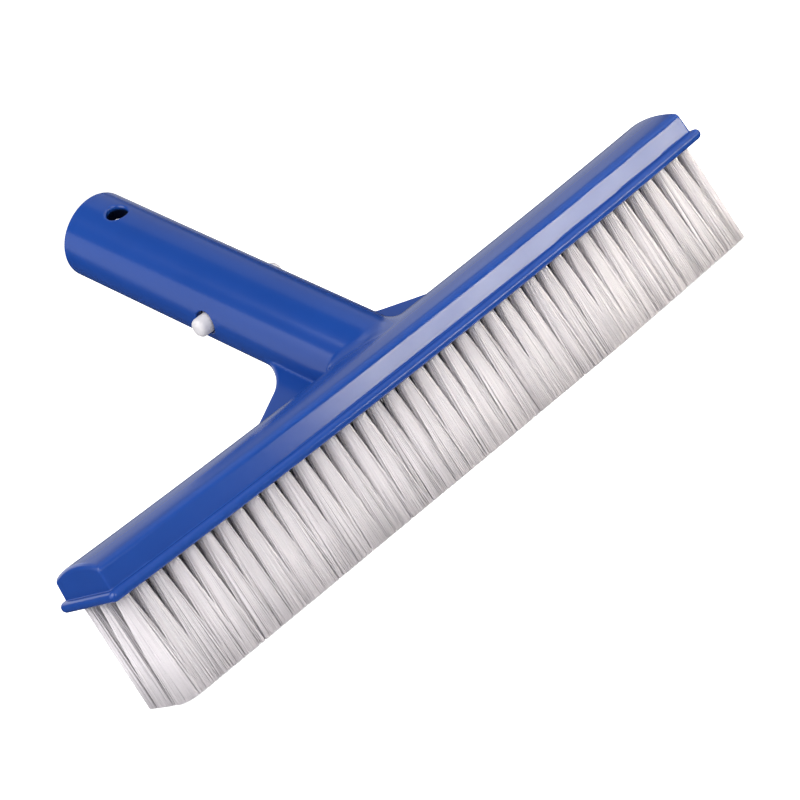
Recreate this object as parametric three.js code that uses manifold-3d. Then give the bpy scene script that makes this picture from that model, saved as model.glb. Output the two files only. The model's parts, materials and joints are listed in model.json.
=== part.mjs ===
// Pool wall brush: a 10 inch bowed head with three rows of nylon tufts, and an inclined
// tubular handle that a telescopic pole slides over, locked by two spring buttons.
//
// Units are millimetres. +X runs along the head, +Y goes from the head to the handle's
// mouth, and +Z goes from the bristle tips up to the head. The origin is the middle of
// the underside of the bounding box.

import * as THREE from 'three';
import { mergeVertices } from 'three/addons/utils/BufferGeometryUtils.js';
import Module from 'manifold-3d';

const wasm = await Module();
wasm.setup();

// ---------------------------------------------------------------- driving dimensions

const gap = 0.3; // between two pieces that touch in the real object

// Head: a solid bar with a round-edged rim along its foot and a low dome on top, arched
// along its length
const rimLength = 256;
const rimWidth = 34.9;
const rimThickness = 3.4;
const crownHeight = 9.45; // above the rim
const crownY = -1.2; // the dome is highest a little in front of the head's middle
const domeRadius = 48;
const topEdgeSize = 1.4; // how far the rounding of the long top edges reaches
const frontWall = 15.09; // from the head's middle to the foot of its front wall
const rearWall = 15.36;
const endWall = 125.93;
const frontDraft = 0.033; // how much a wall leans in, as a part of its height
const rearDraft = 0.111;
const endDraft = 0.048;
const archRise = 1.73; // how much higher the head's ends are than its middle
const archSteps = 16;

// Tufts, in a grid of columns along X and rows along Y
const columns = 40;
const rows = 3;
const columnPitch = 6.277;
const rowPitch = 10.46;
const tuftRootDiameter = 4;
const tuftSides = 8;
const tuftHoleDepth = 8;
const bristleLength = 34; // free length, from the tips to the rim
const tipHalfDepth = 5.4; // half the front-to-back size of one tuft at its splayed tips

// Handle tube, whose axis leans back in the plane X = 0
const tubeDiameter = 28.7;
const tubeBore = 23.7;
const tubeSides = 40;
const tubeAngle = 34.36; // of its axis above horizontal, in degrees
const tubeAxisY = 14.29; // a point on the axis, measured from the middle of the head
const tubeAxisZ = 38.77;
const tubeLength = 125.7; // from that point to the mouth
const tubeRootDepth = 8; // how far the tube runs on behind that point, into the head
const boreStart = 20; // where the blind bore ends, from that point
const mouthChamfer = 0.6;

// Hang and drain hole through the top of the tube, near its mouth
const hangHoleAt = 111.4; // along the axis
const hangHoleDiameter = 7;
const hangHoleRimDiameter = 9.2;
const hangHoleSides = 20;

// Web plates that brace the tube against the back of the head
const webTop = 3.5; // how far their upper face lies below the tube's axis
const webThickness = 3;
const webHalfSpan = 63; // at the back of the head
const webCornerAt = 24.8; // along the tube, where the straight edges would meet its side
const webReach = 33; // along the tube, where the hollow curves run out
const webCurveX = 26; // where the hollow curves begin, from the middle
const webBackAt = -4; // the webs run on this far into the head
const heelDrop = 0.6; // of the heel's top, below the front wall's upper edge
const heelDepth = 12;

// Nylon clip inside the tube: a bridge and two springy arms, each with a button
const buttonAt = 58.7; // along the axis
const buttonDiameter = 6.4;
const buttonFlat = 0.45; // the flat tip of a button, as a part of its diameter
const buttonDomeHeight = 2;
const buttonHoleDiameter = 8;
const buttonHoleShift = 0.3; // the hole's middle is nearer the mouth than the button's
const buttonReach = 18.4; // from the tube's axis to the button's tip
const clipWidth = 8;
const clipThickness = 1.8;
const clipArmInset = 0.85; // between the bore and the outside of an arm, at the button
const clipPivotAt = 26; // along the axis, where an arm flexes
const clipPivotOffset = 9; // from the axis
const clipBridgeDepth = 4.6; // how far the bridge bows toward the bottom of the bore
const clipArmTail = 5.3; // from the middle of the button to the arm's end

// ---------------------------------------------------------------- derived sizes

const rimBottom = bristleLength;
const rimTop = rimBottom + rimThickness;
const rimEdge = rimThickness / 2; // radius of the rim's rounded edge
const domeCentreZ = rimTop + crownHeight - domeRadius;
const tubeRadius = tubeDiameter / 2;
const lean = THREE.MathUtils.degToRad(tubeAngle);
const frontY = -rimWidth / 2;
const rearY = tubeAxisY + tubeLength * Math.cos(lean) + (tubeRadius - mouthChamfer) * Math.sin(lean);

// ---------------------------------------------------------------- materials

function plastic(color, roughness) {
  return new THREE.MeshStandardMaterial({ color, roughness, metalness: 0 });
}

const bluePlastic = plastic(0x1f4fb4, 0.3);
const bristleNylon = plastic(0xe6e2e6, 0.55);
const clipNylon = plastic(0xeeecef, 0.45);

// ---------------------------------------------------------------- solids

function solidOf(geometry) {
  const bare = geometry.clone();
  bare.deleteAttribute('normal');
  bare.deleteAttribute('uv');
  const welded = mergeVertices(bare, 1e-4);
  return new wasm.Manifold(new wasm.Mesh({
    numProp: 3,
    vertProperties: new Float32Array(welded.attributes.position.array),
    triVerts: new Uint32Array(welded.index.array),
  }));
}

function geometryOf(solid) {
  const { vertProperties, triVerts } = solid.getMesh();
  const geometry = new THREE.BufferGeometry();
  geometry.setAttribute('position', new THREE.BufferAttribute(vertProperties, 3));
  geometry.setIndex(new THREE.BufferAttribute(triVerts, 1));
  return geometry;
}

function joined(solids) {
  return solids.reduce((whole, solid) => whole.add(solid));
}

// A box between two corners
function boxSolid(low, high) {
  const size = high.map((value, k) => value - low[k]);
  const middle = high.map((value, k) => (value + low[k]) / 2);
  return solidOf(new THREE.BoxGeometry(...size).translate(...middle));
}

// A cylinder or cone about Z, from z = 0 up
function columnGeometry(bottomRadius, topRadius, height, sides) {
  return new THREE.CylinderGeometry(topRadius, bottomRadius, height, sides)
    .rotateX(Math.PI / 2)
    .translate(0, 0, height / 2);
}

// An outline drawn in Y and Z, run along X and centred on X = 0
function barGeometry(outline, length, steps, curveSegments) {
  const alongX = new THREE.Matrix4().makeBasis(
    new THREE.Vector3(0, 1, 0),
    new THREE.Vector3(0, 0, 1),
    new THREE.Vector3(1, 0, 0),
  );
  return new THREE.ExtrudeGeometry(outline, { depth: length, steps, curveSegments, bevelEnabled: false })
    .translate(0, 0, -length / 2)
    .applyMatrix4(alongX);
}

// ---------------------------------------------------------------- frames of reference

// The head is arched: everything on it rises with the square of its distance from the middle
function archAt(x) {
  return archRise * (x / (rimLength / 2)) ** 2;
}

function arched(geometry) {
  const points = geometry.attributes.position;
  for (let i = 0; i < points.count; i += 1) {
    points.setZ(i, points.getZ(i) + archAt(points.getX(i)));
  }
  return geometry;
}

// The tube's own frame: X as the head's, Z along its axis to the mouth, and -Y out of its top
const tubeFrame = new THREE.Matrix4()
  .makeTranslation(0, tubeAxisY, tubeAxisZ)
  .multiply(new THREE.Matrix4().makeRotationX(lean - Math.PI / 2));

function inTubeFrame(geometry) {
  return geometry.applyMatrix4(tubeFrame);
}

// ---------------------------------------------------------------- brush body

// How far the walls stand from the head's middle at a height
function frontWallAt(z) {
  return -frontWall + frontDraft * (z - rimTop);
}

function rearWallAt(z) {
  return rearWall - rearDraft * (z - rimTop);
}

function domeAt(y) {
  return domeCentreZ + Math.sqrt(domeRadius ** 2 - (y - crownY) ** 2);
}

function domeAngle(y) {
  return Math.acos((y - crownY) / domeRadius);
}

// Leaning walls, rounded top edges and a low dome
function headSection() {
  const foot = rimBottom + rimEdge;
  const rearTop = domeAt(rearWall);
  const frontTop = domeAt(-frontWall);
  const rearFaceTop = rearTop - topEdgeSize;
  const frontFaceTop = frontTop - topEdgeSize;
  const rearEdge = rearWallAt(rearTop);
  const frontEdge = frontWallAt(frontTop);
  const domeStart = rearEdge - topEdgeSize;
  const domeEnd = frontEdge + topEdgeSize;
  const section = new THREE.Shape();
  section.moveTo(frontWallAt(foot), foot);
  section.lineTo(rearWallAt(foot), foot);
  section.lineTo(rearWallAt(rearFaceTop), rearFaceTop);
  section.quadraticCurveTo(rearEdge, rearTop, domeStart, domeAt(domeStart));
  section.absarc(crownY, domeCentreZ, domeRadius, domeAngle(domeStart), domeAngle(domeEnd), false);
  section.quadraticCurveTo(frontEdge, frontTop, frontWallAt(frontFaceTop), frontFaceTop);
  section.closePath();
  return section;
}

// The rim's half-round edges
function rimSection() {
  const nose = rimWidth / 2 - rimEdge;
  const middle = rimBottom + rimEdge;
  const section = new THREE.Shape();
  section.absarc(nose, middle, rimEdge, -Math.PI / 2, Math.PI / 2, false);
  section.absarc(-nose, middle, rimEdge, Math.PI / 2, Math.PI * 1.5, false);
  return section;
}

function rimPlan() {
  const x = rimLength / 2 - rimEdge;
  const y = rimWidth / 2 - rimEdge;
  const plan = new THREE.Shape();
  plan.absarc(x, -y, rimEdge, -Math.PI / 2, 0, false);
  plan.absarc(x, y, rimEdge, 0, Math.PI / 2, false);
  plan.absarc(-x, y, rimEdge, Math.PI / 2, Math.PI, false);
  plan.absarc(-x, -y, rimEdge, Math.PI, Math.PI * 1.5, false);
  return plan;
}

// The end walls lean in as they rise
function drafted(geometry) {
  const points = geometry.attributes.position;
  for (let i = 0; i < points.count; i += 1) {
    const leanIn = endDraft * (points.getZ(i) - rimTop) / endWall;
    points.setX(i, points.getX(i) * (1 - leanIn));
  }
  return geometry;
}

function headBar() {
  const bar = solidOf(arched(drafted(barGeometry(headSection(), 2 * endWall, archSteps, 4))));
  const rim = solidOf(arched(barGeometry(rimSection(), rimLength, archSteps, 4)));
  const plan = new THREE.ExtrudeGeometry(rimPlan(), {
    depth: rimLength,
    curveSegments: 4,
    bevelEnabled: false,
  });
  return bar.add(rim.intersect(solidOf(plan)));
}

function tuftPositions(column) {
  const x = (column - (columns - 1) / 2) * columnPitch;
  return Array.from({ length: rows }, (_, row) => [x, (row - (rows - 1) / 2) * rowPitch]);
}

// Blind holes, one for each tuft
function tuftHoles() {
  const holes = [];
  const radius = tuftRootDiameter / 2 + gap;
  const below = 1;
  for (let column = 0; column < columns; column += 1) {
    for (const [x, y] of tuftPositions(column)) {
      const hole = columnGeometry(radius, radius, tuftHoleDepth + below, tuftSides)
        .rotateZ(Math.PI / tuftSides)
        .translate(x, y, rimBottom - below + archAt(x));
      holes.push(solidOf(hole));
    }
  }
  return joined(holes);
}

function tubeOutside() {
  const length = tubeLength + tubeRootDepth;
  const barrel = columnGeometry(tubeRadius, tubeRadius, length - mouthChamfer, tubeSides)
    .translate(0, 0, -tubeRootDepth);
  const lip = columnGeometry(tubeRadius, tubeRadius - mouthChamfer, mouthChamfer, tubeSides)
    .translate(0, 0, tubeLength - mouthChamfer);
  return solidOf(inTubeFrame(barrel)).add(solidOf(inTubeFrame(lip)));
}

function tubeBoreSolid() {
  const length = tubeLength - boreStart + 1;
  return solidOf(inTubeFrame(
    columnGeometry(tubeBore / 2, tubeBore / 2, length, tubeSides).translate(0, 0, boreStart),
  ));
}

// The webs' outline in the tube's frame, as X and distance along the axis
function webOutline() {
  const slope = webCornerAt / (webHalfSpan - tubeRadius);
  const curveAt = webCornerAt - slope * (webCurveX - tubeRadius);
  const backX = webHalfSpan - webBackAt / slope;
  const outline = new THREE.Shape();
  outline.moveTo(-backX, webBackAt);
  outline.lineTo(backX, webBackAt);
  outline.lineTo(webCurveX, curveAt);
  outline.quadraticCurveTo(tubeRadius, webCornerAt, tubeRadius, webReach);
  outline.lineTo(-tubeRadius, webReach);
  outline.quadraticCurveTo(-tubeRadius, webCornerAt, -webCurveX, curveAt);
  outline.closePath();
  return outline;
}

// The web outline as a slab between two distances below the tube's axis
function webSlab(top, bottom) {
  const flip = new THREE.Matrix4().makeRotationX(Math.PI / 2);
  const slab = new THREE.ExtrudeGeometry(webOutline(), {
    depth: bottom - top,
    curveSegments: 8,
    bevelEnabled: false,
  });
  return solidOf(inTubeFrame(slab.applyMatrix4(flip).translate(0, bottom, 0)));
}

// The heel fills the corner between the head's rear wall and the webs with a hollow curve
function webHeel() {
  const top = domeAt(rearWall) - topEdgeSize - heelDrop;
  const wall = rearWallAt(top);
  const inside = wall - 1;
  const section = new THREE.Shape();
  section.moveTo(inside, rimBottom);
  section.lineTo(wall + heelDepth, rimBottom);
  section.lineTo(wall + heelDepth, top - 1);
  section.quadraticCurveTo(wall + heelDepth / 3, top - heelDepth / 2, wall, top);
  section.lineTo(inside, top);
  section.closePath();
  const bar = solidOf(barGeometry(section, 2 * webHalfSpan, 1, 6));
  return bar.intersect(webSlab(-tubeRadius / 2, webTop + webThickness));
}

// A cone or cylinder square to the tube's axis, through its top, between two distances from the axis
function throughTop(innerRadius, outerRadius, from, to) {
  return solidOf(inTubeFrame(
    columnGeometry(innerRadius, outerRadius, to - from, hangHoleSides)
      .rotateX(Math.PI / 2)
      .translate(0, -from, hangHoleAt),
  ));
}

function brushBody() {
  const far = 200;
  const brace = tubeOutside()
    .add(webSlab(webTop, webTop + webThickness))
    .add(webHeel())
    .subtract(boxSolid([-far, -far, -far], [far, far, rimBottom]));
  const holeRadius = hangHoleDiameter / 2;
  const rimDepth = (hangHoleRimDiameter - hangHoleDiameter) / 2;
  const hangHole = throughTop(holeRadius, holeRadius, 0, tubeRadius + 1);
  const rimStart = tubeRadius - rimDepth;
  const hangHoleRim = throughTop(holeRadius, holeRadius + 2 * rimDepth, rimStart, tubeRadius + rimDepth);
  const buttonHoles = solidOf(inTubeFrame(
    columnGeometry(buttonHoleDiameter / 2, buttonHoleDiameter / 2, 2 * tubeDiameter, 20)
      .translate(0, 0, -tubeDiameter)
      .rotateY(Math.PI / 2)
      .translate(0, 0, buttonAt + buttonHoleShift),
  ));
  return headBar()
    .add(brace)
    .subtract(tubeBoreSolid())
    .subtract(hangHole)
    .subtract(hangHoleRim)
    .subtract(buttonHoles)
    .subtract(tuftHoles());
}

// ---------------------------------------------------------------- tufts

// One tuft: a round root in its hole, splaying to a nearly rectangular bundle at the tips
function tuftGeometry(x, y) {
  const radius = tuftRootDiameter / 2;
  const tipHalfWidth = (columnPitch - gap) / 2;
  const root = rimBottom + archAt(x);
  const top = root + tuftHoleDepth - gap;
  const geometry = new THREE.CylinderGeometry(1, 1, 2, tuftSides, 2).rotateX(Math.PI / 2);
  const points = geometry.attributes.position;
  for (let i = 0; i < points.count; i += 1) {
    const level = Math.round(points.getZ(i));
    const onSide = Math.hypot(points.getX(i), points.getY(i)) > 0.5 ? 1 : 0;
    const angle = Math.atan2(points.getY(i), points.getX(i)) + Math.PI / tuftSides;
    const across = onSide * Math.cos(angle);
    const along = onSide * Math.sin(angle);
    if (level < 0) {
      const px = THREE.MathUtils.clamp(1.3 * across, -1, 1) * tipHalfWidth;
      const py = THREE.MathUtils.clamp(1.3 * along, -1, 1) * tipHalfDepth;
      points.setXYZ(i, x + px, y + py, 0);
    } else {
      points.setXYZ(i, x + radius * across, y + radius * along, level > 0 ? top : root);
    }
  }
  return geometry;
}

// The tufts that stand side by side across the head meet at their splayed tips
function tuftColumn(column) {
  return joined(tuftPositions(column).map(([x, y]) => solidOf(tuftGeometry(x, y))));
}

// ---------------------------------------------------------------- clip

// A clip piece from its outline in the tube's frame, as X and distance along the axis
function clipStrip(outline) {
  return solidOf(
    new THREE.ExtrudeGeometry(outline, { depth: clipWidth, curveSegments: 8, bevelEnabled: false })
      .rotateX(Math.PI / 2)
      .translate(0, clipWidth / 2, 0),
  );
}

// The bridge bows between the two arms' pivots
function clipBridge() {
  const inner = clipPivotOffset - clipThickness / 2;
  const outer = clipPivotOffset + clipThickness / 2;
  const end = clipPivotAt - gap / 2;
  const outerDepth = end - clipBridgeDepth;
  const innerDepth = outerDepth + clipThickness;
  const outline = new THREE.Shape();
  outline.moveTo(-outer, end);
  outline.quadraticCurveTo(-outer, outerDepth, 0, outerDepth);
  outline.quadraticCurveTo(outer, outerDepth, outer, end);
  outline.lineTo(inner, end);
  outline.quadraticCurveTo(inner, innerDepth, 0, innerDepth);
  outline.quadraticCurveTo(-inner, innerDepth, -inner, end);
  outline.closePath();
  return clipStrip(outline);
}

// An arm on the side of +X (side = 1) or -X (side = -1), with its domed button
function clipArm(side) {
  const radius = buttonDiameter / 2;
  const start = clipPivotAt + gap / 2;
  const knee = buttonAt - radius;
  const end = buttonAt + clipArmTail;
  const armOutside = tubeBore / 2 - clipArmInset;
  const atRoot = clipPivotOffset + clipThickness / 2;
  const outline = new THREE.Shape([
    new THREE.Vector2(atRoot - clipThickness, start),
    new THREE.Vector2(atRoot, start),
    new THREE.Vector2(armOutside, knee),
    new THREE.Vector2(armOutside, end),
    new THREE.Vector2(armOutside - clipThickness, end),
    new THREE.Vector2(armOutside - clipThickness, knee),
  ]);
  const flat = radius * buttonFlat;
  const reach = buttonReach - armOutside + clipThickness / 2;
  const profile = new THREE.Path();
  profile.moveTo(0, 0);
  profile.lineTo(radius, 0);
  profile.lineTo(radius, reach - buttonDomeHeight);
  profile.quadraticCurveTo(radius, reach, flat, reach);
  profile.lineTo(0, reach);
  const button = new THREE.LatheGeometry(profile.getPoints(5), 20)
    .rotateZ(-Math.PI / 2)
    .translate(armOutside - clipThickness / 2, 0, buttonAt);
  const arm = geometryOf(clipStrip(outline).add(solidOf(button)));
  return side > 0 ? arm : arm.rotateZ(Math.PI);
}

// ---------------------------------------------------------------- assembly

function piece(name, geometry, material) {
  const mesh = new THREE.Mesh(geometry, material);
  mesh.name = name;
  return mesh;
}

const head = new THREE.Group();
head.add(piece('brush_body', geometryOf(brushBody()), bluePlastic));
for (let column = 0; column < columns; column += 1) {
  const number = String(column + 1).padStart(2, '0');
  head.add(piece(`tuft_column_${number}`, geometryOf(tuftColumn(column)), bristleNylon));
}

const clip = new THREE.Group();
clip.applyMatrix4(tubeFrame);
clip.add(piece('clip_bridge', geometryOf(clipBridge()), clipNylon));
clip.add(piece('clip_arm_right', clipArm(1), clipNylon));
clip.add(piece('clip_arm_left', clipArm(-1), clipNylon));
head.add(clip);
head.position.y = -(frontY + rearY) / 2;

const brush = new THREE.Group();
brush.add(head);

export default brush;
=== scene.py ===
"""Looks of the pool wall brush: one blue moulding, 120 tufts of nylon filaments and a spring clip.

Lengths inside the script are millimetres in the head's frame: x along the head, y from the
middle of the head to the handle, z up from the bristle tips. place() takes them to metres
in the frame's own axes.
"""

import json
import math

import bmesh
import bpy
import numpy as np
from mathutils import Matrix, Vector

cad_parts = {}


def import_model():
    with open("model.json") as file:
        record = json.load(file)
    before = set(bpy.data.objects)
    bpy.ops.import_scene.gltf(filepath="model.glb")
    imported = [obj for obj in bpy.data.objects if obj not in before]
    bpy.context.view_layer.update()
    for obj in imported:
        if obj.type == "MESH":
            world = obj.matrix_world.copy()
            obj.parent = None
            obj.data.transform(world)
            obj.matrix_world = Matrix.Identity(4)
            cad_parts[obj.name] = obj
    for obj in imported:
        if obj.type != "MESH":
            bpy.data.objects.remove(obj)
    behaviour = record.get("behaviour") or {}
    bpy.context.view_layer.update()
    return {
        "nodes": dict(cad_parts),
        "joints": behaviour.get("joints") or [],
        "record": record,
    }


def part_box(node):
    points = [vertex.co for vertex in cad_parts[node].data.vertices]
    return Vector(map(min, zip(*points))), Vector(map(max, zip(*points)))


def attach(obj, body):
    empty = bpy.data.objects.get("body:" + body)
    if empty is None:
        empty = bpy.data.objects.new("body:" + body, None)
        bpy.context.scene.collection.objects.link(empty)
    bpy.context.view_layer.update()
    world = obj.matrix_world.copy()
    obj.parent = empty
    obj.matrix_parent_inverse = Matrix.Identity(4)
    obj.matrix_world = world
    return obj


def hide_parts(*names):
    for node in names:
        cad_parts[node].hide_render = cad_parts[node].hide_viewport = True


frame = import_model()

MM = 0.001
RANDOM = np.random.default_rng(7)

# ------------------------------------------------------------------ sizes read from the frame

mounts = {mount["name"]: mount for mount in frame["record"]["mounts"]}
joints = {joint["name"]: joint for joint in frame["joints"]}
body_low, body_high = (np.array(corner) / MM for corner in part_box("brush_body"))
column_names = sorted(name for name in frame["nodes"] if name.startswith("tuft_column_"))
column_boxes = [[np.array(corner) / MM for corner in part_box(name)] for name in column_names]
column_x = np.array([(low[0] + high[0]) / 2 for low, high in column_boxes])
column_pitch = (column_x[-1] - column_x[0]) / (len(column_x) - 1)

HEAD_Y = mounts["bristle_face"]["pos_m"][1] / MM  # of the head's middle, in the frame's axes
RIM_HALF_LENGTH = body_high[0]
RIM_HALF_WIDTH = HEAD_Y - body_low[1]
TUBE_AXIS = np.array(mounts["handle_mouth"]["axis"])
BUTTON_TIP_X = mounts["button_right"]["pos_m"][0] / MM
BUTTON_CENTRE = np.array(mounts["button_right"]["pos_m"]) / MM * (0, 1, 1) - (0, HEAD_Y, 0)
MOUTH_POINT = np.array(mounts["handle_mouth"]["pos_m"]) / MM - (0, HEAD_Y, 0)
PIVOT = np.array(joints["button_right_press"]["pos_m"]) / MM - (0, HEAD_Y, 0)

# ------------------------------------------------------------------ sizes of the details

RIM_BOTTOM = 34.0
RIM_RADIUS = 1.7
RIM_TOP = RIM_BOTTOM + 2 * RIM_RADIUS
RIM_FOOT = 0.3  # hollow between the rim and the walls
FRONT_WALL = 15.09  # of the walls, at the rim's top, from the head's middle
REAR_WALL = 15.36
END_WALL = 125.93
FRONT_DRAFT = 0.033  # how much the walls lean in, as a part of their height
REAR_DRAFT = 0.111
END_DRAFT = 0.048
CROWN_Z = RIM_TOP + 9.45
CROWN_Y = -1.2
DOME_RADIUS = 48.0
DOME_EDGE = 1.6  # radius of the head's long top edges
END_EDGE = 0.8  # radius of the edges of its end faces
CORNER_EDGE = 0.8  # radius of its four upright edges
ARCH = 1.73

TUBE_RADIUS = 14.35
BORE_RADIUS = 11.85
BORE_END = 20.0
MOUTH_EDGE = 0.9
TUBE_ROOT = -8.0
ROOT_FILLET = 3.0
ROOT_LIFT = 0.2  # of the tube's and webs' flat underside, above the rim's
ROOT_EDGE = 1.0  # radii of edges, here and below
BORE_EDGE = 0.5

WEB_MIDDLE = -5.0  # of the web plates, out of the plane through the tube's axis
WEB_HALF = 1.5
WEB_START = 12.5  # where a web leaves the tube
WEB_END = 60.0  # past this, the web's plane lies inside the tube's wall
WEB_EDGE_AT = 25.74  # the web's straight edge starts this far along the tube
WEB_SLOPE = 0.51
WEB_SWEEP = 11.6  # radius of the web's hollow curve
WEB_EDGE = 1.3
WEB_FILLET = 1.2

HANG_HOLE_AT = 111.4
HANG_HOLE_RADIUS = 3.5
HANG_HOLE_EDGE = 1.1
HANG_BOSS_RADIUS = 5.5  # the wall is thicker round the hole, on the inside
HANG_BOSS_REACH = 8.5
HANG_HOLE_DARK_AT = 9.5  # middle of the painted shade inside the hole, from the tube's axis
HANG_HOLE_DARK_NEAR = 4.4  # fully dark within this distance of that middle
HANG_HOLE_DARK_FAR = 5.2  # and not at all past this one
BUTTON_AT = 58.7  # along the tube's axis, from its reference point
BUTTON_HOLE_RADIUS = 4.0
BUTTON_HOLE_SHIFT = 0.3
BUTTON_HOLE_EDGE = 0.35

ROW_PITCH = 10.46
ROWS = (-ROW_PITCH, 0.0, ROW_PITCH)
TUFT_HOLE_RADIUS = 2.4
TUFT_HOLE_DEPTH = 4.0
TUFT_HOLE_EDGE = 0.2
TUFT_ROOT_GAP = 0.8  # between the filaments' ends and the end of their hole
FILAMENTS = 270  # in a tuft
FILAMENT_RADIUS = 0.16
TUFT_RADIUS = 1.75
TIP_SIZE = (3.8, 4.9)  # half the size of one tuft's bundle at its tips, along and across the head
TIP_SQUARENESS = 0.8  # neighbouring bundles press each other's tips from round toward square
TIP_CORNER = 5.5  # radius of the corners of the whole field of tips
LEAN = 1.3  # of the tufts' tips
LEVELS = np.array([0.0, 0.15, 0.35, 0.62, 1.0])  # where a filament's path has points, root to tip
FLARE = 1.35  # above 1, a tuft spreads early on the way down
SCATTER = 0.12  # of the tips, and of each tuft's lean
SWING = 0.05  # how far filaments wander from a straight course
TIP_RAGGEDNESS = 0.1  # the most a tip stops short of the cut
LOWEST_TIP = 0.04  # height of the lowest tips above the floor
CORE_SIDES = 24
CORE_SHARE = 0.66  # of the tuft's own size
CORE_SHORT = 2.5  # the core stops this far above the tips
CORE_SQUARENESS = 0.85  # below 1, its lower rings go from round toward square
TIP_LIMITS = np.array([125.3, 14.3])  # the tips stay within these, on either side of the middle

# ------------------------------------------------------------------ frames of reference


def along_tube():
    """The tube's own frame: a point on its axis, and its along and outward directions."""
    along = TUBE_AXIS / np.linalg.norm(TUBE_AXIS)
    out_of_top = np.array([0.0, -along[2], along[1]])
    on_axis = BUTTON_CENTRE - along * BUTTON_AT
    return on_axis, along, out_of_top


TUBE_START, TUBE_ALONG, TUBE_UP = along_tube()
MOUTH_AT = float((MOUTH_POINT - TUBE_START) @ TUBE_ALONG)
PIVOT_AT = float((PIVOT - TUBE_START) @ TUBE_ALONG)
PIVOT_X = PIVOT[0]


def arch(x):
    return ARCH * (x / RIM_HALF_LENGTH) ** 2


def place(points):
    """Head-frame millimetres to the frame's metres."""
    return (np.asarray(points, float) + (0, HEAD_Y, 0)) * MM


def from_tube(across, out, along):
    """Tube-frame coordinates to head-frame millimetres."""
    across, out, along = np.broadcast_arrays(across, out, along)
    points = TUBE_START + out[..., None] * TUBE_UP + along[..., None] * TUBE_ALONG
    points[..., 0] += across
    return points


# ------------------------------------------------------------------ the moulding, as a distance


def fillet(a, b, radius):
    """Union of two solids with a hollow fillet between them."""
    corner = np.hypot(np.maximum(radius - a, 0), np.maximum(radius - b, 0))
    return np.maximum(radius, np.minimum(a, b)) - corner


def rounded(a, b, radius):
    """Intersection of two solids with a rounded edge between them."""
    corner = np.hypot(np.maximum(radius + a, 0), np.maximum(radius + b, 0))
    return np.minimum(-radius, np.maximum(a, b)) + corner


def head_distance(x, y, z):
    rise = z - RIM_TOP
    dome = np.hypot(y - CROWN_Y, z - CROWN_Z + DOME_RADIUS) - DOME_RADIUS
    front = -y - FRONT_WALL + rise * FRONT_DRAFT
    rear = y - REAR_WALL + rise * REAR_DRAFT
    ends = np.abs(x) - END_WALL + rise * END_DRAFT
    walls = rounded(np.maximum(front, rear), ends, CORNER_EDGE)
    bar = rounded(dome, walls, DOME_EDGE)
    bar = np.maximum(bar, rounded(dome, ends, END_EDGE))
    bar = np.maximum(bar, RIM_BOTTOM + RIM_RADIUS - z)
    nose_x = np.abs(x) - RIM_HALF_LENGTH + RIM_RADIUS
    nose_y = np.abs(y) - RIM_HALF_WIDTH + RIM_RADIUS
    beyond = np.hypot(np.maximum(nose_x, 0), np.maximum(nose_y, 0))
    rim = np.hypot(beyond, z - RIM_BOTTOM - RIM_RADIUS) - RIM_RADIUS
    return fillet(bar, rim, RIM_FOOT)


def brace_distance(x, out, along):
    """The tube and its two webs."""
    tube = rounded(np.hypot(x, out) - TUBE_RADIUS, along - MOUTH_AT, MOUTH_EDGE)
    tube = np.maximum(tube, TUBE_ROOT - along)
    side = np.abs(x) - WEB_START
    edge = (along - WEB_EDGE_AT + WEB_SLOPE * side) / math.hypot(1, WEB_SLOPE)
    outline = np.maximum(fillet(side, edge, WEB_SWEEP), TUBE_ROOT - along)
    outline = np.maximum(outline, along - WEB_END)
    web = rounded(outline, np.abs(out - WEB_MIDDLE) - WEB_HALF, WEB_EDGE)
    return fillet(tube, web, WEB_FILLET)


def tuft_holes_distance(x, y, z):
    first, last = column_x[0] / column_pitch, column_x[-1] / column_pitch
    column = np.clip(np.round(x / column_pitch - 0.5) + 0.5, first, last)
    row = np.clip(np.round(y / ROW_PITCH), -1, 1)
    hole = np.hypot(x - column * column_pitch, y - row * ROW_PITCH) - TUFT_HOLE_RADIUS
    return np.maximum(hole, z - RIM_BOTTOM - TUFT_HOLE_DEPTH)


def moulding_distance(points):
    x, y, z = points.T
    level = z - arch(x)
    dy = y - TUBE_START[1]
    dz = z - TUBE_START[2]
    along = dy * TUBE_ALONG[1] + dz * TUBE_ALONG[2]
    out = dy * TUBE_UP[1] + dz * TUBE_UP[2]
    brace = brace_distance(x, out, along)
    trimmed = rounded(brace, RIM_BOTTOM + ROOT_LIFT - level, ROOT_EDGE)
    solid = fillet(head_distance(x, y, level), trimmed, ROOT_FILLET)
    solid = np.maximum(solid, RIM_BOTTOM - level)
    boss = np.maximum(np.hypot(x, along - HANG_HOLE_AT) - HANG_BOSS_RADIUS, HANG_BOSS_REACH - out)
    bore = np.maximum(np.hypot(x, out) - BORE_RADIUS, BORE_END - along)
    bore = rounded(bore, -boss, BORE_EDGE)
    solid = rounded(solid, -bore, BORE_EDGE)
    hang_hole = np.maximum(np.hypot(x, along - HANG_HOLE_AT) - HANG_HOLE_RADIUS, -out)
    solid = rounded(solid, -hang_hole, HANG_HOLE_EDGE)
    button_hole = np.hypot(out, along - BUTTON_AT - BUTTON_HOLE_SHIFT) - BUTTON_HOLE_RADIUS
    solid = rounded(solid, -button_hole, BUTTON_HOLE_EDGE)
    return rounded(solid, -tuft_holes_distance(x, y, level), TUFT_HOLE_EDGE)


# ------------------------------------------------------------------ meshing a distance


def slopes(distance, points, step=0.02):
    """Unit outward directions of a distance function."""
    offsets = np.array([[1, -1, -1], [-1, -1, 1], [-1, 1, -1], [1, 1, 1]], float)
    slope = sum(offset * distance(points + offset * step)[:, None] for offset in offsets)
    return slope / np.maximum(np.linalg.norm(slope, axis=1, keepdims=True), 1e-9)


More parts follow.
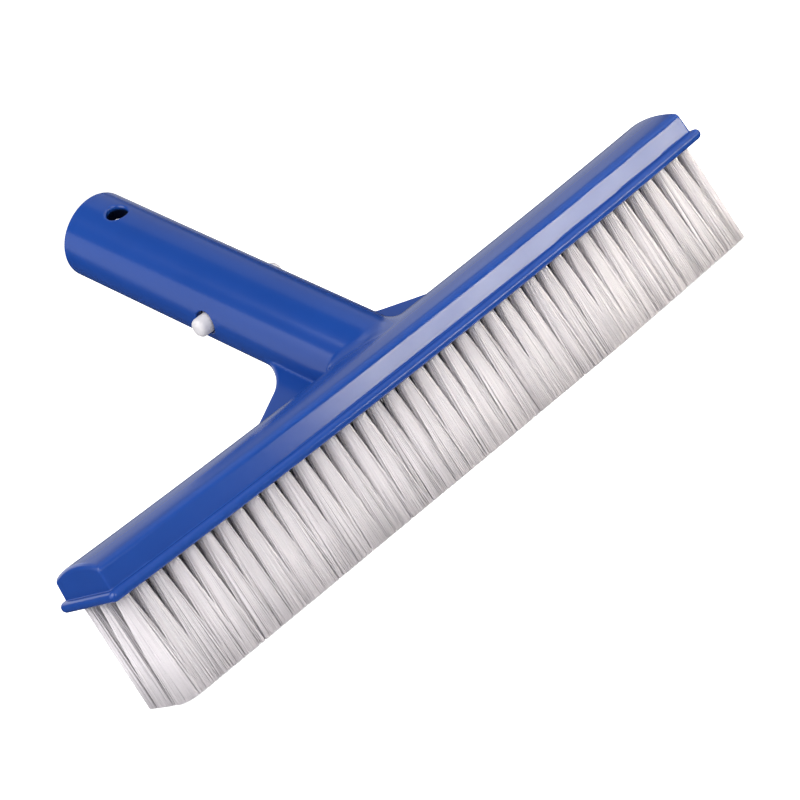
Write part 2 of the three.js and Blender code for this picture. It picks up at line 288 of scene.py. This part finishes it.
def settle(distance, points, reach, rounds=4):
    """Moves points onto the zero surface of a distance function."""
    for _ in range(rounds):
        shift = np.clip(distance(points), -reach, reach)
        points = points - shift[:, None] * slopes(distance, points)
    return points


def surface_net(distance, low, high, cell):
    """Vertices and quads of a distance function's zero surface, on a grid of that cell size."""
    block = 8
    corner_steps = np.array([[i, j, k] for i in (0, 1) for j in (0, 1) for k in (0, 1)])
    counts = np.ceil((high - low) / (cell * block)).astype(int)
    blocks = np.stack(np.meshgrid(*[np.arange(n) for n in counts], indexing="ij"), -1).reshape(-1, 3)
    middles = low + (blocks + 0.5) * block * cell
    blocks = blocks[np.abs(distance(middles)) < 1.15 * block * cell]
    local = np.stack(np.meshgrid(*[np.arange(block + 1)] * 3, indexing="ij"), -1).reshape(-1, 3)
    cells, values = [], []
    for start in range(0, len(blocks), 500):
        corners = blocks[start:start + 500, None, :] * block + local
        sampled = distance((low + corners * cell).reshape(-1, 3)).reshape(-1, *[block + 1] * 3)
        at_corners = np.stack(
            [sampled[:, i:block + i, j:block + j, k:block + k] for i, j, k in corner_steps], -1)
        inside = at_corners < 0
        mixed = inside.any(-1) & ~inside.all(-1)
        which, *steps = np.nonzero(mixed)
        cells.append(blocks[start + which] * block + np.stack(steps, -1))
        values.append(at_corners[mixed])
    cells, values = np.concatenate(cells), np.concatenate(values)
    crossing_sum = np.zeros((len(cells), 3))
    crossing_count = np.zeros(len(cells))
    for a in range(8):
        for b in range(a + 1, 8):
            if np.abs(corner_steps[a] - corner_steps[b]).sum() != 1:
                continue
            crossed = (values[:, a] < 0) != (values[:, b] < 0)
            share = values[crossed, a] / (values[crossed, a] - values[crossed, b])
            crossing_sum[crossed] += corner_steps[a] + share[:, None] * (corner_steps[b] - corner_steps[a])
            crossing_count[crossed] += 1
    points = low + (cells + crossing_sum / crossing_count[:, None]) * cell
    span = counts * block + 2
    keys = ((cells[:, 0] + 1) * span[1] + cells[:, 1] + 1) * span[2] + cells[:, 2] + 1
    order = np.argsort(keys)
    sorted_keys = keys[order]
    stride = np.array([span[1] * span[2], span[2], 1])
    quads = []
    for axis, corner in enumerate((4, 2, 1)):
        first, second = stride[(axis + 1) % 3], stride[(axis + 2) % 3]
        crossed = (values[:, 0] < 0) != (values[:, corner] < 0)
        ring = keys[crossed][:, None] - np.array([0, first, first + second, second])
        quad = order[np.searchsorted(sorted_keys, ring)]
        leaving = values[crossed, 0] < 0
        quads.append(np.where(leaving[:, None], quad, quad[:, ::-1]))
    return points, np.concatenate(quads)


def mesh_object(name, points, faces):
    mesh = bpy.data.meshes.new(name)
    mesh.from_pydata(place(points).tolist(), [], faces if isinstance(faces, list) else faces.tolist())
    mesh.update()
    piece = bpy.data.objects.new(name, mesh)
    bpy.context.scene.collection.objects.link(piece)
    return piece


def vertices_of(piece):
    flat = np.empty(len(piece.data.vertices) * 3)
    piece.data.vertices.foreach_get("co", flat)
    return flat.reshape(-1, 3) / MM - (0, HEAD_Y, 0)


def applied(piece, kind, **settings):
    """Adds a modifier and applies it."""
    modifier = piece.modifiers.new(kind.lower(), kind)
    for key, value in settings.items():
        setattr(modifier, key, value)
    evaluated = piece.evaluated_get(bpy.context.evaluated_depsgraph_get())
    mesh = bpy.data.meshes.new_from_object(evaluated)
    piece.modifiers.clear()
    piece.data = mesh


def smooth(piece):
    piece.data.polygons.foreach_set("use_smooth", [True] * len(piece.data.polygons))


def moulding():
    cell = 0.45
    margin = 2.0
    low = np.array([body_low[0], body_low[1] - HEAD_Y, RIM_BOTTOM]) - margin
    high = np.array([body_high[0], body_high[1] - HEAD_Y, body_high[2]]) + margin
    points, quads = surface_net(moulding_distance, low, high, cell)
    piece = mesh_object("brush_moulding", settle(moulding_distance, points, cell / 2), quads)
    most_triangles = 190_000
    if 2 * len(quads) > most_triangles:
        applied(piece, "DECIMATE", ratio=most_triangles / (2 * len(quads)))
        points = settle(moulding_distance, vertices_of(piece), cell / 4)
        piece.data.vertices.foreach_set("co", place(points).ravel())
    smooth(piece)
    piece.data.normals_split_custom_set_from_vertices(slopes(moulding_distance, vertices_of(piece)).tolist())
    return piece


# ------------------------------------------------------------------ tufts


def disc_points(count, radius):
    """Evenly packed points in a disc, slightly disturbed."""
    index = np.arange(count) + 0.5
    angle = index * math.pi * (1 + 5 ** 0.5) + RANDOM.uniform(0, 2 * math.pi)
    reach = radius * np.sqrt(index / count)
    points = np.stack([np.cos(angle) * reach, np.sin(angle) * reach], -1)
    return points + RANDOM.normal(0, radius * 0.025, points.shape)


def cut_height(x):
    """The tips are cut flat in the middle, and a little shorter toward both ends."""
    left_slope, left_start = 0.0035, 20
    right_slope, right_start = 0.0195, 58
    slopes_up = np.maximum(left_slope * (left_start - x), right_slope * (x - right_start))
    return np.maximum(LOWEST_TIP, slopes_up)


def within_field(points):
    """Pulls tips that stray outside the field of tips back to its rounded outline."""
    inner = TIP_LIMITS - TIP_CORNER
    beyond = np.abs(points) - inner
    reach = np.linalg.norm(np.maximum(beyond, 0), axis=1, keepdims=True)
    pull = np.minimum(1, TIP_CORNER / np.maximum(reach, 1e-6))
    pulled = np.sign(points) * (inner + beyond * pull)
    return np.where(beyond > 0, pulled, points)


def set_lean(x):
    """The tufts lean a little toward the left end, less so there, and the last ones toward the right."""
    right_end = np.clip((x - 90) / 30, 0, 1)
    left_end = np.clip((-100 - x) / 20, 0, 1)
    return -LEAN + 1.6 * LEAN * right_end + 0.7 * LEAN * left_end


def tuft_paths(x, y):
    """Centre lines of one tuft's filaments, as an array of filaments by levels by xyz."""
    roots = disc_points(FILAMENTS, TUFT_RADIUS)
    lean = np.array([set_lean(x), 0]) + RANDOM.normal(0, SCATTER, 2)
    spread = np.array(TIP_SIZE) / TUFT_RADIUS
    bearing = np.abs(roots) / np.linalg.norm(roots, axis=1, keepdims=True)
    squared = bearing.max(axis=1, keepdims=True) ** -TIP_SQUARENESS
    tips = roots * spread * squared + lean + RANDOM.normal(0, SCATTER, roots.shape)
    tips = within_field(tips + (x, y)) - (x, y)
    swing = RANDOM.normal(0, SWING, roots.shape)
    share = 1 - (1 - LEVELS) ** FLARE
    across = roots[:, None, :] + (tips - roots)[:, None, :] * share[:, None]
    across += swing[:, None, :] * np.sin(LEVELS * math.pi)[:, None]
    root_z = RIM_BOTTOM + arch(x) + TUFT_HOLE_DEPTH - TUFT_ROOT_GAP
    tip_z = cut_height(x + tips[:, 0]) + RANDOM.uniform(0.0, TIP_RAGGEDNESS, len(tips))
    heights = root_z + (tip_z[:, None] - root_z) * LEVELS
    centre = np.array([x, y])
    return np.concatenate([across + centre, heights[..., None]], -1)


def tuft_core(paths):
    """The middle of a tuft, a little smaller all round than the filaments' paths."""
    turns = np.linspace(0, 2 * math.pi, CORE_SIDES, endpoint=False)
    rings = []
    for level in range(paths.shape[1]):
        ring = paths[:, level]
        middle = (ring.max(axis=0) + ring.min(axis=0)) / 2
        reach = CORE_SHARE * (ring[:, :2].max(axis=0) - middle[:2])
        z = middle[2] if level < paths.shape[1] - 1 else middle[2] + CORE_SHORT
        squareness = CORE_SQUARENESS if level > 1 else 1.0
        circle = np.stack([np.cos(turns), np.sin(turns)], -1)
        outline = np.sign(circle) * np.abs(circle) ** squareness
        rings.append(np.column_stack([middle[:2] + reach * outline, np.full(CORE_SIDES, z)]))
    return rings


def core_faces(cores, start):
    """Points and closed faces of the tufts' cores, numbered on from start."""
    points, faces = [], []
    for rings in cores:
        base = start + len(points)
        for ring in rings:
            points.extend(ring.tolist())
        for level in range(len(rings) - 1):
            for side in range(CORE_SIDES):
                after = (side + 1) % CORE_SIDES
                low, high = base + level * CORE_SIDES, base + (level + 1) * CORE_SIDES
                faces.append([low + side, high + side, high + after, low + after])
        faces.append([base + side for side in range(CORE_SIDES)])
        last = base + (len(rings) - 1) * CORE_SIDES
        faces.append([last + side for side in reversed(range(CORE_SIDES))])
    return points, faces


def filament_mesh(name, paths, cores):
    """One mesh of closed, three-sided filaments along the centre lines, round the tufts' cores."""
    sides = 3
    count, levels, _ = paths.shape
    spin = RANDOM.uniform(0, 2 * math.pi, count)[:, None]
    turn = spin + np.arange(sides) * 2 * math.pi / sides
    ring = np.stack([np.cos(turn), np.sin(turn), np.zeros_like(turn)], -1) * FILAMENT_RADIUS
    points = (paths[:, :, None, :] + ring[:, None, :, :]).reshape(-1, 3)
    base = (np.arange(count) * levels * sides)[:, None, None]
    level = (np.arange(levels - 1) * sides)[None, :, None]
    side = np.arange(sides)[None, None, :]
    after = (side + 1) % sides
    here = base + level
    walls = np.stack([here + side, here + sides + side, here + sides + after, here + after], -1)
    root_ends = np.arange(count)[:, None] * levels * sides + np.arange(sides)
    tip_ends = root_ends[:, ::-1] + (levels - 1) * sides
    faces = walls.reshape(-1, 4).tolist() + root_ends.tolist() + tip_ends.tolist()
    core_points, more_faces = core_faces(cores, len(points))
    piece = mesh_object(name, np.concatenate([points, core_points]), faces + more_faces)
    smooth(piece)
    return piece


def tufts():
    pieces = []
    for name, x in zip(column_names, column_x):
        each = [tuft_paths(x, y) for y in ROWS]
        cores = [tuft_core(paths) for paths in each]
        piece = filament_mesh(name.replace("column", "bristles"), np.concatenate(each), cores)
        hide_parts(name)
        pieces.append(piece)
    return pieces


# ------------------------------------------------------------------ clip


def revolved(profile, steps, centre, axis_x):
    """Closed solid from a profile of (radius, reach) turned about the X direction of the tube frame."""
    points, faces = [], []
    turns = np.arange(steps) * 2 * math.pi / steps
    for radius, reach in profile:
        out, along = radius * np.cos(turns), centre[1] + radius * np.sin(turns)
        points.append(from_tube(centre[0] + axis_x * reach, out, along))
    for i in range(len(profile) - 1):
        for j in range(steps):
            k = (j + 1) % steps
            faces.append([i * steps + j, i * steps + k, (i + 1) * steps + k, (i + 1) * steps + j])
    faces.append([j for j in range(steps)][::-1])
    faces.append([(len(profile) - 1) * steps + j for j in range(steps)])
    if axis_x < 0:
        faces = [face[::-1] for face in faces]
    return np.concatenate(points), faces


def strip(name, outline, half_width):
    """A closed strip from an outline of (across, along) points in the tube's frame."""
    outline = np.array(outline)
    count = len(outline)
    across, along = outline.T
    sides = [from_tube(across, np.full(count, out), along) for out in (-half_width, half_width)]
    faces = [[i, (i + 1) % count, count + (i + 1) % count, count + i] for i in range(count)]
    faces += [list(range(count))[::-1], list(range(count, 2 * count))]
    piece = mesh_object(name, np.concatenate(sides), faces)
    bm = bmesh.new()
    bm.from_mesh(piece.data)
    bmesh.ops.recalc_face_normals(bm, faces=bm.faces)
    bm.to_mesh(piece.data)
    bm.free()
    return piece


CLIP_THICKNESS = 1.8
CLIP_HALF_WIDTH = 4.0
CLIP_HALF_GAP = 0.15  # half of the gap between the bridge and an arm
BRIDGE_DEPTH = 4.6
BRIDGE_ROUNDNESS = 0.8
ARM_OUTSIDE = BORE_RADIUS - 0.85
ARM_TAIL = 5.3  # from the middle of the button to the arm's end
BUTTON_RADIUS = 3.2
BUTTON_DOME = 1.9
BUTTON_ROUNDNESS = 0.62  # below 1, the dome is squarer than a circle's arc
BUTTON_FLAT = 0.35  # radius of the flat at its tip


def clip_arm(side_name, side):
    inner = PIVOT_X - CLIP_THICKNESS / 2
    outer = PIVOT_X + CLIP_THICKNESS / 2
    knee = BUTTON_AT - BUTTON_RADIUS
    end = BUTTON_AT + ARM_TAIL
    start = PIVOT_AT + CLIP_HALF_GAP
    outline = [(inner, start), (outer, start), (ARM_OUTSIDE, knee), (ARM_OUTSIDE, end),
               (ARM_OUTSIDE - CLIP_THICKNESS, end), (ARM_OUTSIDE - CLIP_THICKNESS, knee)]
    arm = strip(f"clip_spring_{side_name}", [(side * x, t) for x, t in outline], CLIP_HALF_WIDTH)
    applied(arm, "BEVEL", width=0.35 * MM, segments=3, limit_method="ANGLE")
    root_x = ARM_OUTSIDE - CLIP_THICKNESS / 2
    reach = BUTTON_TIP_X - root_x
    shoulder = reach - BUTTON_DOME
    profile = [(BUTTON_RADIUS, 0.0), (BUTTON_RADIUS, shoulder * 0.5)]
    for turn in np.linspace(0, math.pi / 2, 12)[:-1]:
        radius = BUTTON_RADIUS * math.cos(turn) ** BUTTON_ROUNDNESS
        profile.append((radius, shoulder + BUTTON_DOME * math.sin(turn)))
    profile.append((BUTTON_FLAT, reach))
    points, faces = revolved(profile, 48, (side * root_x, BUTTON_AT), side)
    button = mesh_object(f"clip_button_{side_name}", points, faces)
    smooth(arm)
    smooth(button)
    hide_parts(f"clip_arm_{side_name}")
    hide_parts(f"clip_arm_{side_name}")
    return arm, button


def clip_bridge():
    end = PIVOT_AT - CLIP_HALF_GAP
    turns = np.linspace(0, math.pi, 25)

    def bow(half_span, depth):
        return [(half_span * math.cos(a), end - depth * math.sin(a) ** BRIDGE_ROUNDNESS) for a in turns]

    outside = bow(PIVOT_X + CLIP_THICKNESS / 2, BRIDGE_DEPTH)
    inside = bow(PIVOT_X - CLIP_THICKNESS / 2, BRIDGE_DEPTH - CLIP_THICKNESS)
    bridge = strip("clip_bow", outside + inside[::-1], CLIP_HALF_WIDTH)
    applied(bridge, "BEVEL", width=0.3 * MM, segments=2, limit_method="ANGLE", angle_limit=0.9)
    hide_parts("clip_bridge")
    return bridge


# ------------------------------------------------------------------ materials


class Nodes:
    """A small helper that builds one material's node tree around a Principled shader."""

    def __init__(self, name):
        self.material = bpy.data.materials.new(name)
        self.material.use_nodes = True
        self.tree = self.material.node_tree
        self.shader = self.tree.nodes["Principled BSDF"]

    def add(self, kind, **values):
        node = self.tree.nodes.new(kind)
        for key, value in values.items():
            setattr(node, key, value)
        return node

    def link(self, source, target):
        self.tree.links.new(source, target)

    def noise(self, vector, scale, detail):
        node = self.add("ShaderNodeTexNoise")
        node.inputs["Scale"].default_value = scale
        node.inputs["Detail"].default_value = detail
        self.link(vector, node.inputs["Vector"])
        return node.outputs["Fac"]

    def ramp(self, value, *stops):
        node = self.add("ShaderNodeValToRGB")
        ramp = node.color_ramp
        while len(ramp.elements) < len(stops):
            ramp.elements.new(0.5)
        for element, (position, colour) in zip(ramp.elements, stops):
            element.position = position
            element.color = (*colour, 1.0)
        self.link(value, node.inputs["Fac"])
        return node.outputs["Color"]

    def between(self, value, low, high):
        node = self.add("ShaderNodeMapRange")
        node.inputs["To Min"].default_value = low
        node.inputs["To Max"].default_value = high
        self.link(value, node.inputs["Value"])
        return node.outputs["Result"]

    def bump(self, height, distance, strength, under=None):
        node = self.add("ShaderNodeBump")
        node.inputs["Strength"].default_value = strength
        node.inputs["Distance"].default_value = distance
        self.link(height, node.inputs["Height"])
        if under is not None:
            self.link(under, node.inputs["Normal"])
        return node.outputs["Normal"]

    def painted_hang_hole_shade(self, where):
        """1 inside the hang hole, where painted shade makes it read nearly black, and 0 elsewhere."""
        centre = place(from_tube(0.0, HANG_HOLE_DARK_AT, HANG_HOLE_AT))
        away = self.add("ShaderNodeVectorMath", operation="DISTANCE")
        self.link(where, away.inputs[0])
        away.inputs[1].default_value = centre.tolist()
        fade = self.add("ShaderNodeMapRange", interpolation_type="SMOOTHSTEP")
        fade.inputs["From Min"].default_value = HANG_HOLE_DARK_NEAR * MM
        fade.inputs["From Max"].default_value = HANG_HOLE_DARK_FAR * MM
        fade.inputs["To Min"].default_value = 1.0
        fade.inputs["To Max"].default_value = 0.0
        self.link(away.outputs["Value"], fade.inputs["Value"])
        return fade.outputs["Result"]

    def darkened(self, colour, where, dark):
        """colour where the other value is 0, and dark where it is 1."""
        node = self.add("ShaderNodeMix", data_type="RGBA")
        factor, first, second = node.inputs[0], node.inputs[6], node.inputs[7]
        self.link(where, factor)
        self.link(colour, first)
        second.default_value = dark
        return node.outputs[2]

    def position(self, stretch=(1, 1, 1)):
        place_node = self.add("ShaderNodeTexCoord")
        mapping = self.add("ShaderNodeMapping")
        mapping.inputs["Scale"].default_value = stretch
        self.link(place_node.outputs["Object"], mapping.inputs["Vector"])
        return mapping.outputs["Vector"]


BLUE_DEEP = (0.0080, 0.048, 0.255)
BLUE_PALE = (0.0100, 0.056, 0.290)
# painted shade: the deep inside of the hang hole is coloured nearly black
HANG_HOLE_PAINTED_SHADE = (0.002, 0.004, 0.014, 1)
BRISTLE_TINTS = ((0.75, 0.71, 0.735), (0.79, 0.75, 0.775), (0.83, 0.79, 0.815))
CLIP_DEEP = (0.60, 0.58, 0.60)
CLIP_PALE = (0.68, 0.66, 0.68)


def blue_plastic():
    n = Nodes("blue_moulded_plastic")
    where = n.position()
    colour = n.ramp(n.noise(where, 18, 3), (0.3, BLUE_DEEP), (0.7, BLUE_PALE))
    # painted shade darkens the inside of the hang hole to nearly black
    n.link(n.darkened(colour, n.painted_hang_hole_shade(where), HANG_HOLE_PAINTED_SHADE), n.shader.inputs["Base Color"])
    n.link(n.between(n.noise(where, 45, 4), 0.16, 0.26), n.shader.inputs["Roughness"])
    ripple = n.bump(n.noise(where, 55, 2), 0.00012, 0.5)
    grain = n.noise(where, 900, 2)
    n.link(n.bump(grain, 0.00001, 0.5, ripple), n.shader.inputs["Normal"])
    n.shader.inputs["IOR"].default_value = 1.5
    return n.material


def bristle_nylon():
    n = Nodes("white_nylon_bristle")
    strand = n.add("ShaderNodeNewGeometry").outputs["Random Per Island"]
    tint = n.ramp(strand, *zip((0.0, 0.5, 1.0), BRISTLE_TINTS))
    n.link(tint, n.shader.inputs["Base Color"])
    where = n.position((1, 1, 0.15))
    n.link(n.between(n.noise(where, 700, 2), 0.55, 0.75), n.shader.inputs["Roughness"])
    n.shader.inputs["Specular IOR Level"].default_value = 0.25
    return n.material


def clip_nylon():
    n = Nodes("white_nylon_clip")
    where = n.position()
    tint = n.ramp(n.noise(where, 120, 3), (0.3, CLIP_DEEP), (0.7, CLIP_PALE))
    n.link(tint, n.shader.inputs["Base Color"])
    n.link(n.between(n.noise(where, 300, 3), 0.35, 0.5), n.shader.inputs["Roughness"])
    n.link(n.bump(n.noise(where, 1500, 2), 0.00002, 0.4), n.shader.inputs["Normal"])
    n.shader.inputs["Subsurface Weight"].default_value = 0.15
    n.shader.inputs["Subsurface Radius"].default_value = (0.002, 0.002, 0.002)
    return n.material


# ------------------------------------------------------------------ camera, light and floor

CAMERA_AT = [-463.18, -774.48, 183.34]
CAMERA_FORWARD = (0.49969, 0.84909, -0.17135)
CAMERA_UP = (0.54207, -0.15224, 0.82643)
LENS = 138.07

SOFTBOX_DISTANCE = 1300
SOFTBOX_AIM = np.array([0, 0, 40])

CARD_ENDS = (40, 345)  # along x
CARD_EDGES = (1.5, 30)  # up z
CARD_Y = -262
CARD_FADE = (70, 130)  # along x, from dark to fully bright
CARD_STRENGTH = 18.0
CARD_COLOUR = (1.0, 0.93, 0.74, 1)

ROOM_COLOUR = (0.9, 0.9, 1.0, 1)
ROOM_STRENGTH = 0.05
BACKDROP_STRENGTH = 1.5  # of what the camera sees past the floor
FLOOR_HALF = 60000
FLOOR_GLOW = 1.1  # of what the camera sees of the floor
FLOOR_COLOUR = (0.8, 0.8, 0.8, 1)
MIRRORED_FLOOR_COLOUR = (0.06, 0.065, 0.08, 1)


def camera():
    """A long lens from the front left and a little above, rolled so that the head slants across."""
    data = bpy.data.cameras.new("camera")
    data.sensor_width = 36.0
    data.lens = LENS
    rig = bpy.data.objects.new("camera", data)
    bpy.context.scene.collection.objects.link(rig)
    forward, up = Vector(CAMERA_FORWARD), Vector(CAMERA_UP)
    right = forward.cross(up).normalized()
    rotation = Matrix((right, up, -forward)).transposed().to_4x4()
    rig.matrix_world = Matrix.Translation(place(CAMERA_AT)) @ rotation
    bpy.context.scene.camera = rig


def softbox(name, bearing, elevation, size, power):
    """A square softbox facing the head, at a bearing in degrees from its front toward its right end.

    Its size is in metres and its power in watts.
    """
    data = bpy.data.lights.new(name, "AREA")
    data.shape = "SQUARE"
    data.size = size
    data.energy = power
    lamp = bpy.data.objects.new(name, data)
    bpy.context.scene.collection.objects.link(lamp)
    turn, rise = math.radians(bearing), math.radians(elevation)
    flat = math.cos(rise)
    toward = np.array([flat * math.sin(turn), -flat * math.cos(turn), math.sin(rise)])
    start, end = Vector(place(SOFTBOX_AIM + SOFTBOX_DISTANCE * toward)), Vector(place(SOFTBOX_AIM))
    facing = (end - start).to_track_quat("-Z", "Y").to_matrix().to_4x4()
    lamp.matrix_world = Matrix.Translation(start) @ facing
    lamp.visible_camera = False


def front_card():
    """A low, bright card that the front wall mirrors, fading out toward its left end."""
    (left, right), (low, high) = CARD_ENDS, CARD_EDGES
    points = [(left, CARD_Y, low), (right, CARD_Y, low), (right, CARD_Y, high), (left, CARD_Y, high)]
    card = mesh_object("front_card", points, [[3, 2, 1, 0]])
    n = Nodes("card_glow")
    along = n.add("ShaderNodeSeparateXYZ")
    n.link(n.position(), along.inputs["Vector"])
    fade = n.add("ShaderNodeMapRange", interpolation_type="SMOOTHSTEP")
    fade.inputs["From Min"].default_value = CARD_FADE[0] * MM
    fade.inputs["From Max"].default_value = CARD_FADE[1] * MM
    fade.inputs["To Max"].default_value = CARD_STRENGTH
    n.link(along.outputs["X"], fade.inputs["Value"])
    glow = n.add("ShaderNodeEmission")
    glow.inputs["Color"].default_value = CARD_COLOUR
    n.link(fade.outputs["Result"], glow.inputs["Strength"])
    n.link(glow.outputs["Emission"], n.tree.nodes["Material Output"].inputs["Surface"])
    card.data.materials.append(n.material)
    card.visible_camera = False


def lights():
    softbox("front", 0, 18, 0.7, 6.0)
    softbox("right_front", 60, 18, 0.7, 2.8)
    softbox("right_front_high", 60, 50, 1.0, 1.8)
    softbox("right", 90, 18, 0.7, 1.5)
    softbox("right_back_high", 120, 50, 1.0, 1.3)
    softbox("right_back", 150, 18, 0.7, 0.8)
    softbox("back", 180, 18, 0.7, 1.6)
    softbox("back_high", 180, 50, 1.0, 1.2)
    softbox("left_back", 240, 18, 1.0, 3.0)
    softbox("left", 270, 18, 1.2, 4.5)
    softbox("left_front", 300, 18, 0.7, 2.0)
    softbox("left_front_high", 300, 50, 1.0, 14.0)
    front_card()


def world():
    """White where the camera sees it, and a dimmer, cooler room for everything else."""
    shade = bpy.data.worlds.new("studio")
    shade.use_nodes = True
    bpy.context.scene.world = shade
    tree = shade.node_tree
    background = tree.nodes["Background"]
    background.inputs["Color"].default_value = ROOM_COLOUR
    background.inputs["Strength"].default_value = ROOM_STRENGTH
    seen = tree.nodes.new("ShaderNodeBackground")
    seen.inputs["Color"].default_value = (1, 1, 1, 1)
    seen.inputs["Strength"].default_value = BACKDROP_STRENGTH
    rays = tree.nodes.new("ShaderNodeLightPath")
    mix = tree.nodes.new("ShaderNodeMixShader")
    tree.links.new(rays.outputs["Is Camera Ray"], mix.inputs["Fac"])
    tree.links.new(background.outputs["Background"], mix.inputs[1])
    tree.links.new(seen.outputs["Background"], mix.inputs[2])
    tree.links.new(mix.outputs["Shader"], tree.nodes["World Output"].inputs["Surface"])


def floor():
    """A white sweep: it lights the brush from below, and mirrors dark in its gloss."""
    corners = [(-1, -1, 0), (1, -1, 0), (1, 1, 0), (-1, 1, 0)]
    plane = mesh_object("floor", np.array(corners) * FLOOR_HALF, [[0, 1, 2, 3]])
    n = Nodes("white_floor")
    n.shader.inputs["Base Color"].default_value = FLOOR_COLOUR
    n.shader.inputs["Roughness"].default_value = 1.0
    n.shader.inputs["Specular IOR Level"].default_value = 0.0
    n.shader.inputs["Emission Color"].default_value = (1, 1, 1, 1)
    rays = n.add("ShaderNodeLightPath")
    glow = n.between(rays.outputs["Is Camera Ray"], 0.0, FLOOR_GLOW)
    n.link(glow, n.shader.inputs["Emission Strength"])
    dark = n.add("ShaderNodeBsdfDiffuse")
    dark.inputs["Color"].default_value = MIRRORED_FLOOR_COLOUR
    mix = n.add("ShaderNodeMixShader")
    n.link(rays.outputs["Is Glossy Ray"], mix.inputs["Fac"])
    n.link(n.shader.outputs["BSDF"], mix.inputs[1])
    n.link(dark.outputs["BSDF"], mix.inputs[2])
    n.link(mix.outputs["Shader"], n.tree.nodes["Material Output"].inputs["Surface"])
    plane.data.materials.append(n.material)


# ------------------------------------------------------------------ assembly


def finish_piece(piece, body, material):
    piece.data.materials.clear()
    piece.data.materials.append(material)
    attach(piece, body)


def build():
    camera()
    blue, white, nylon = blue_plastic(), bristle_nylon(), clip_nylon()
    body = moulding()
    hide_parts("brush_body")
    finish_piece(body, "brush", blue)
    for tuft in tufts():
        finish_piece(tuft, "brush", white)
    finish_piece(clip_bridge(), "brush", nylon)
    for side_name, side in (("left", -1), ("right", 1)):
        for piece in clip_arm(side_name, side):
            finish_piece(piece, f"button_arm_{side_name}", nylon)
    world()
    floor()
    lights()
    bpy.context.scene.view_settings.view_transform = "Standard"


build()
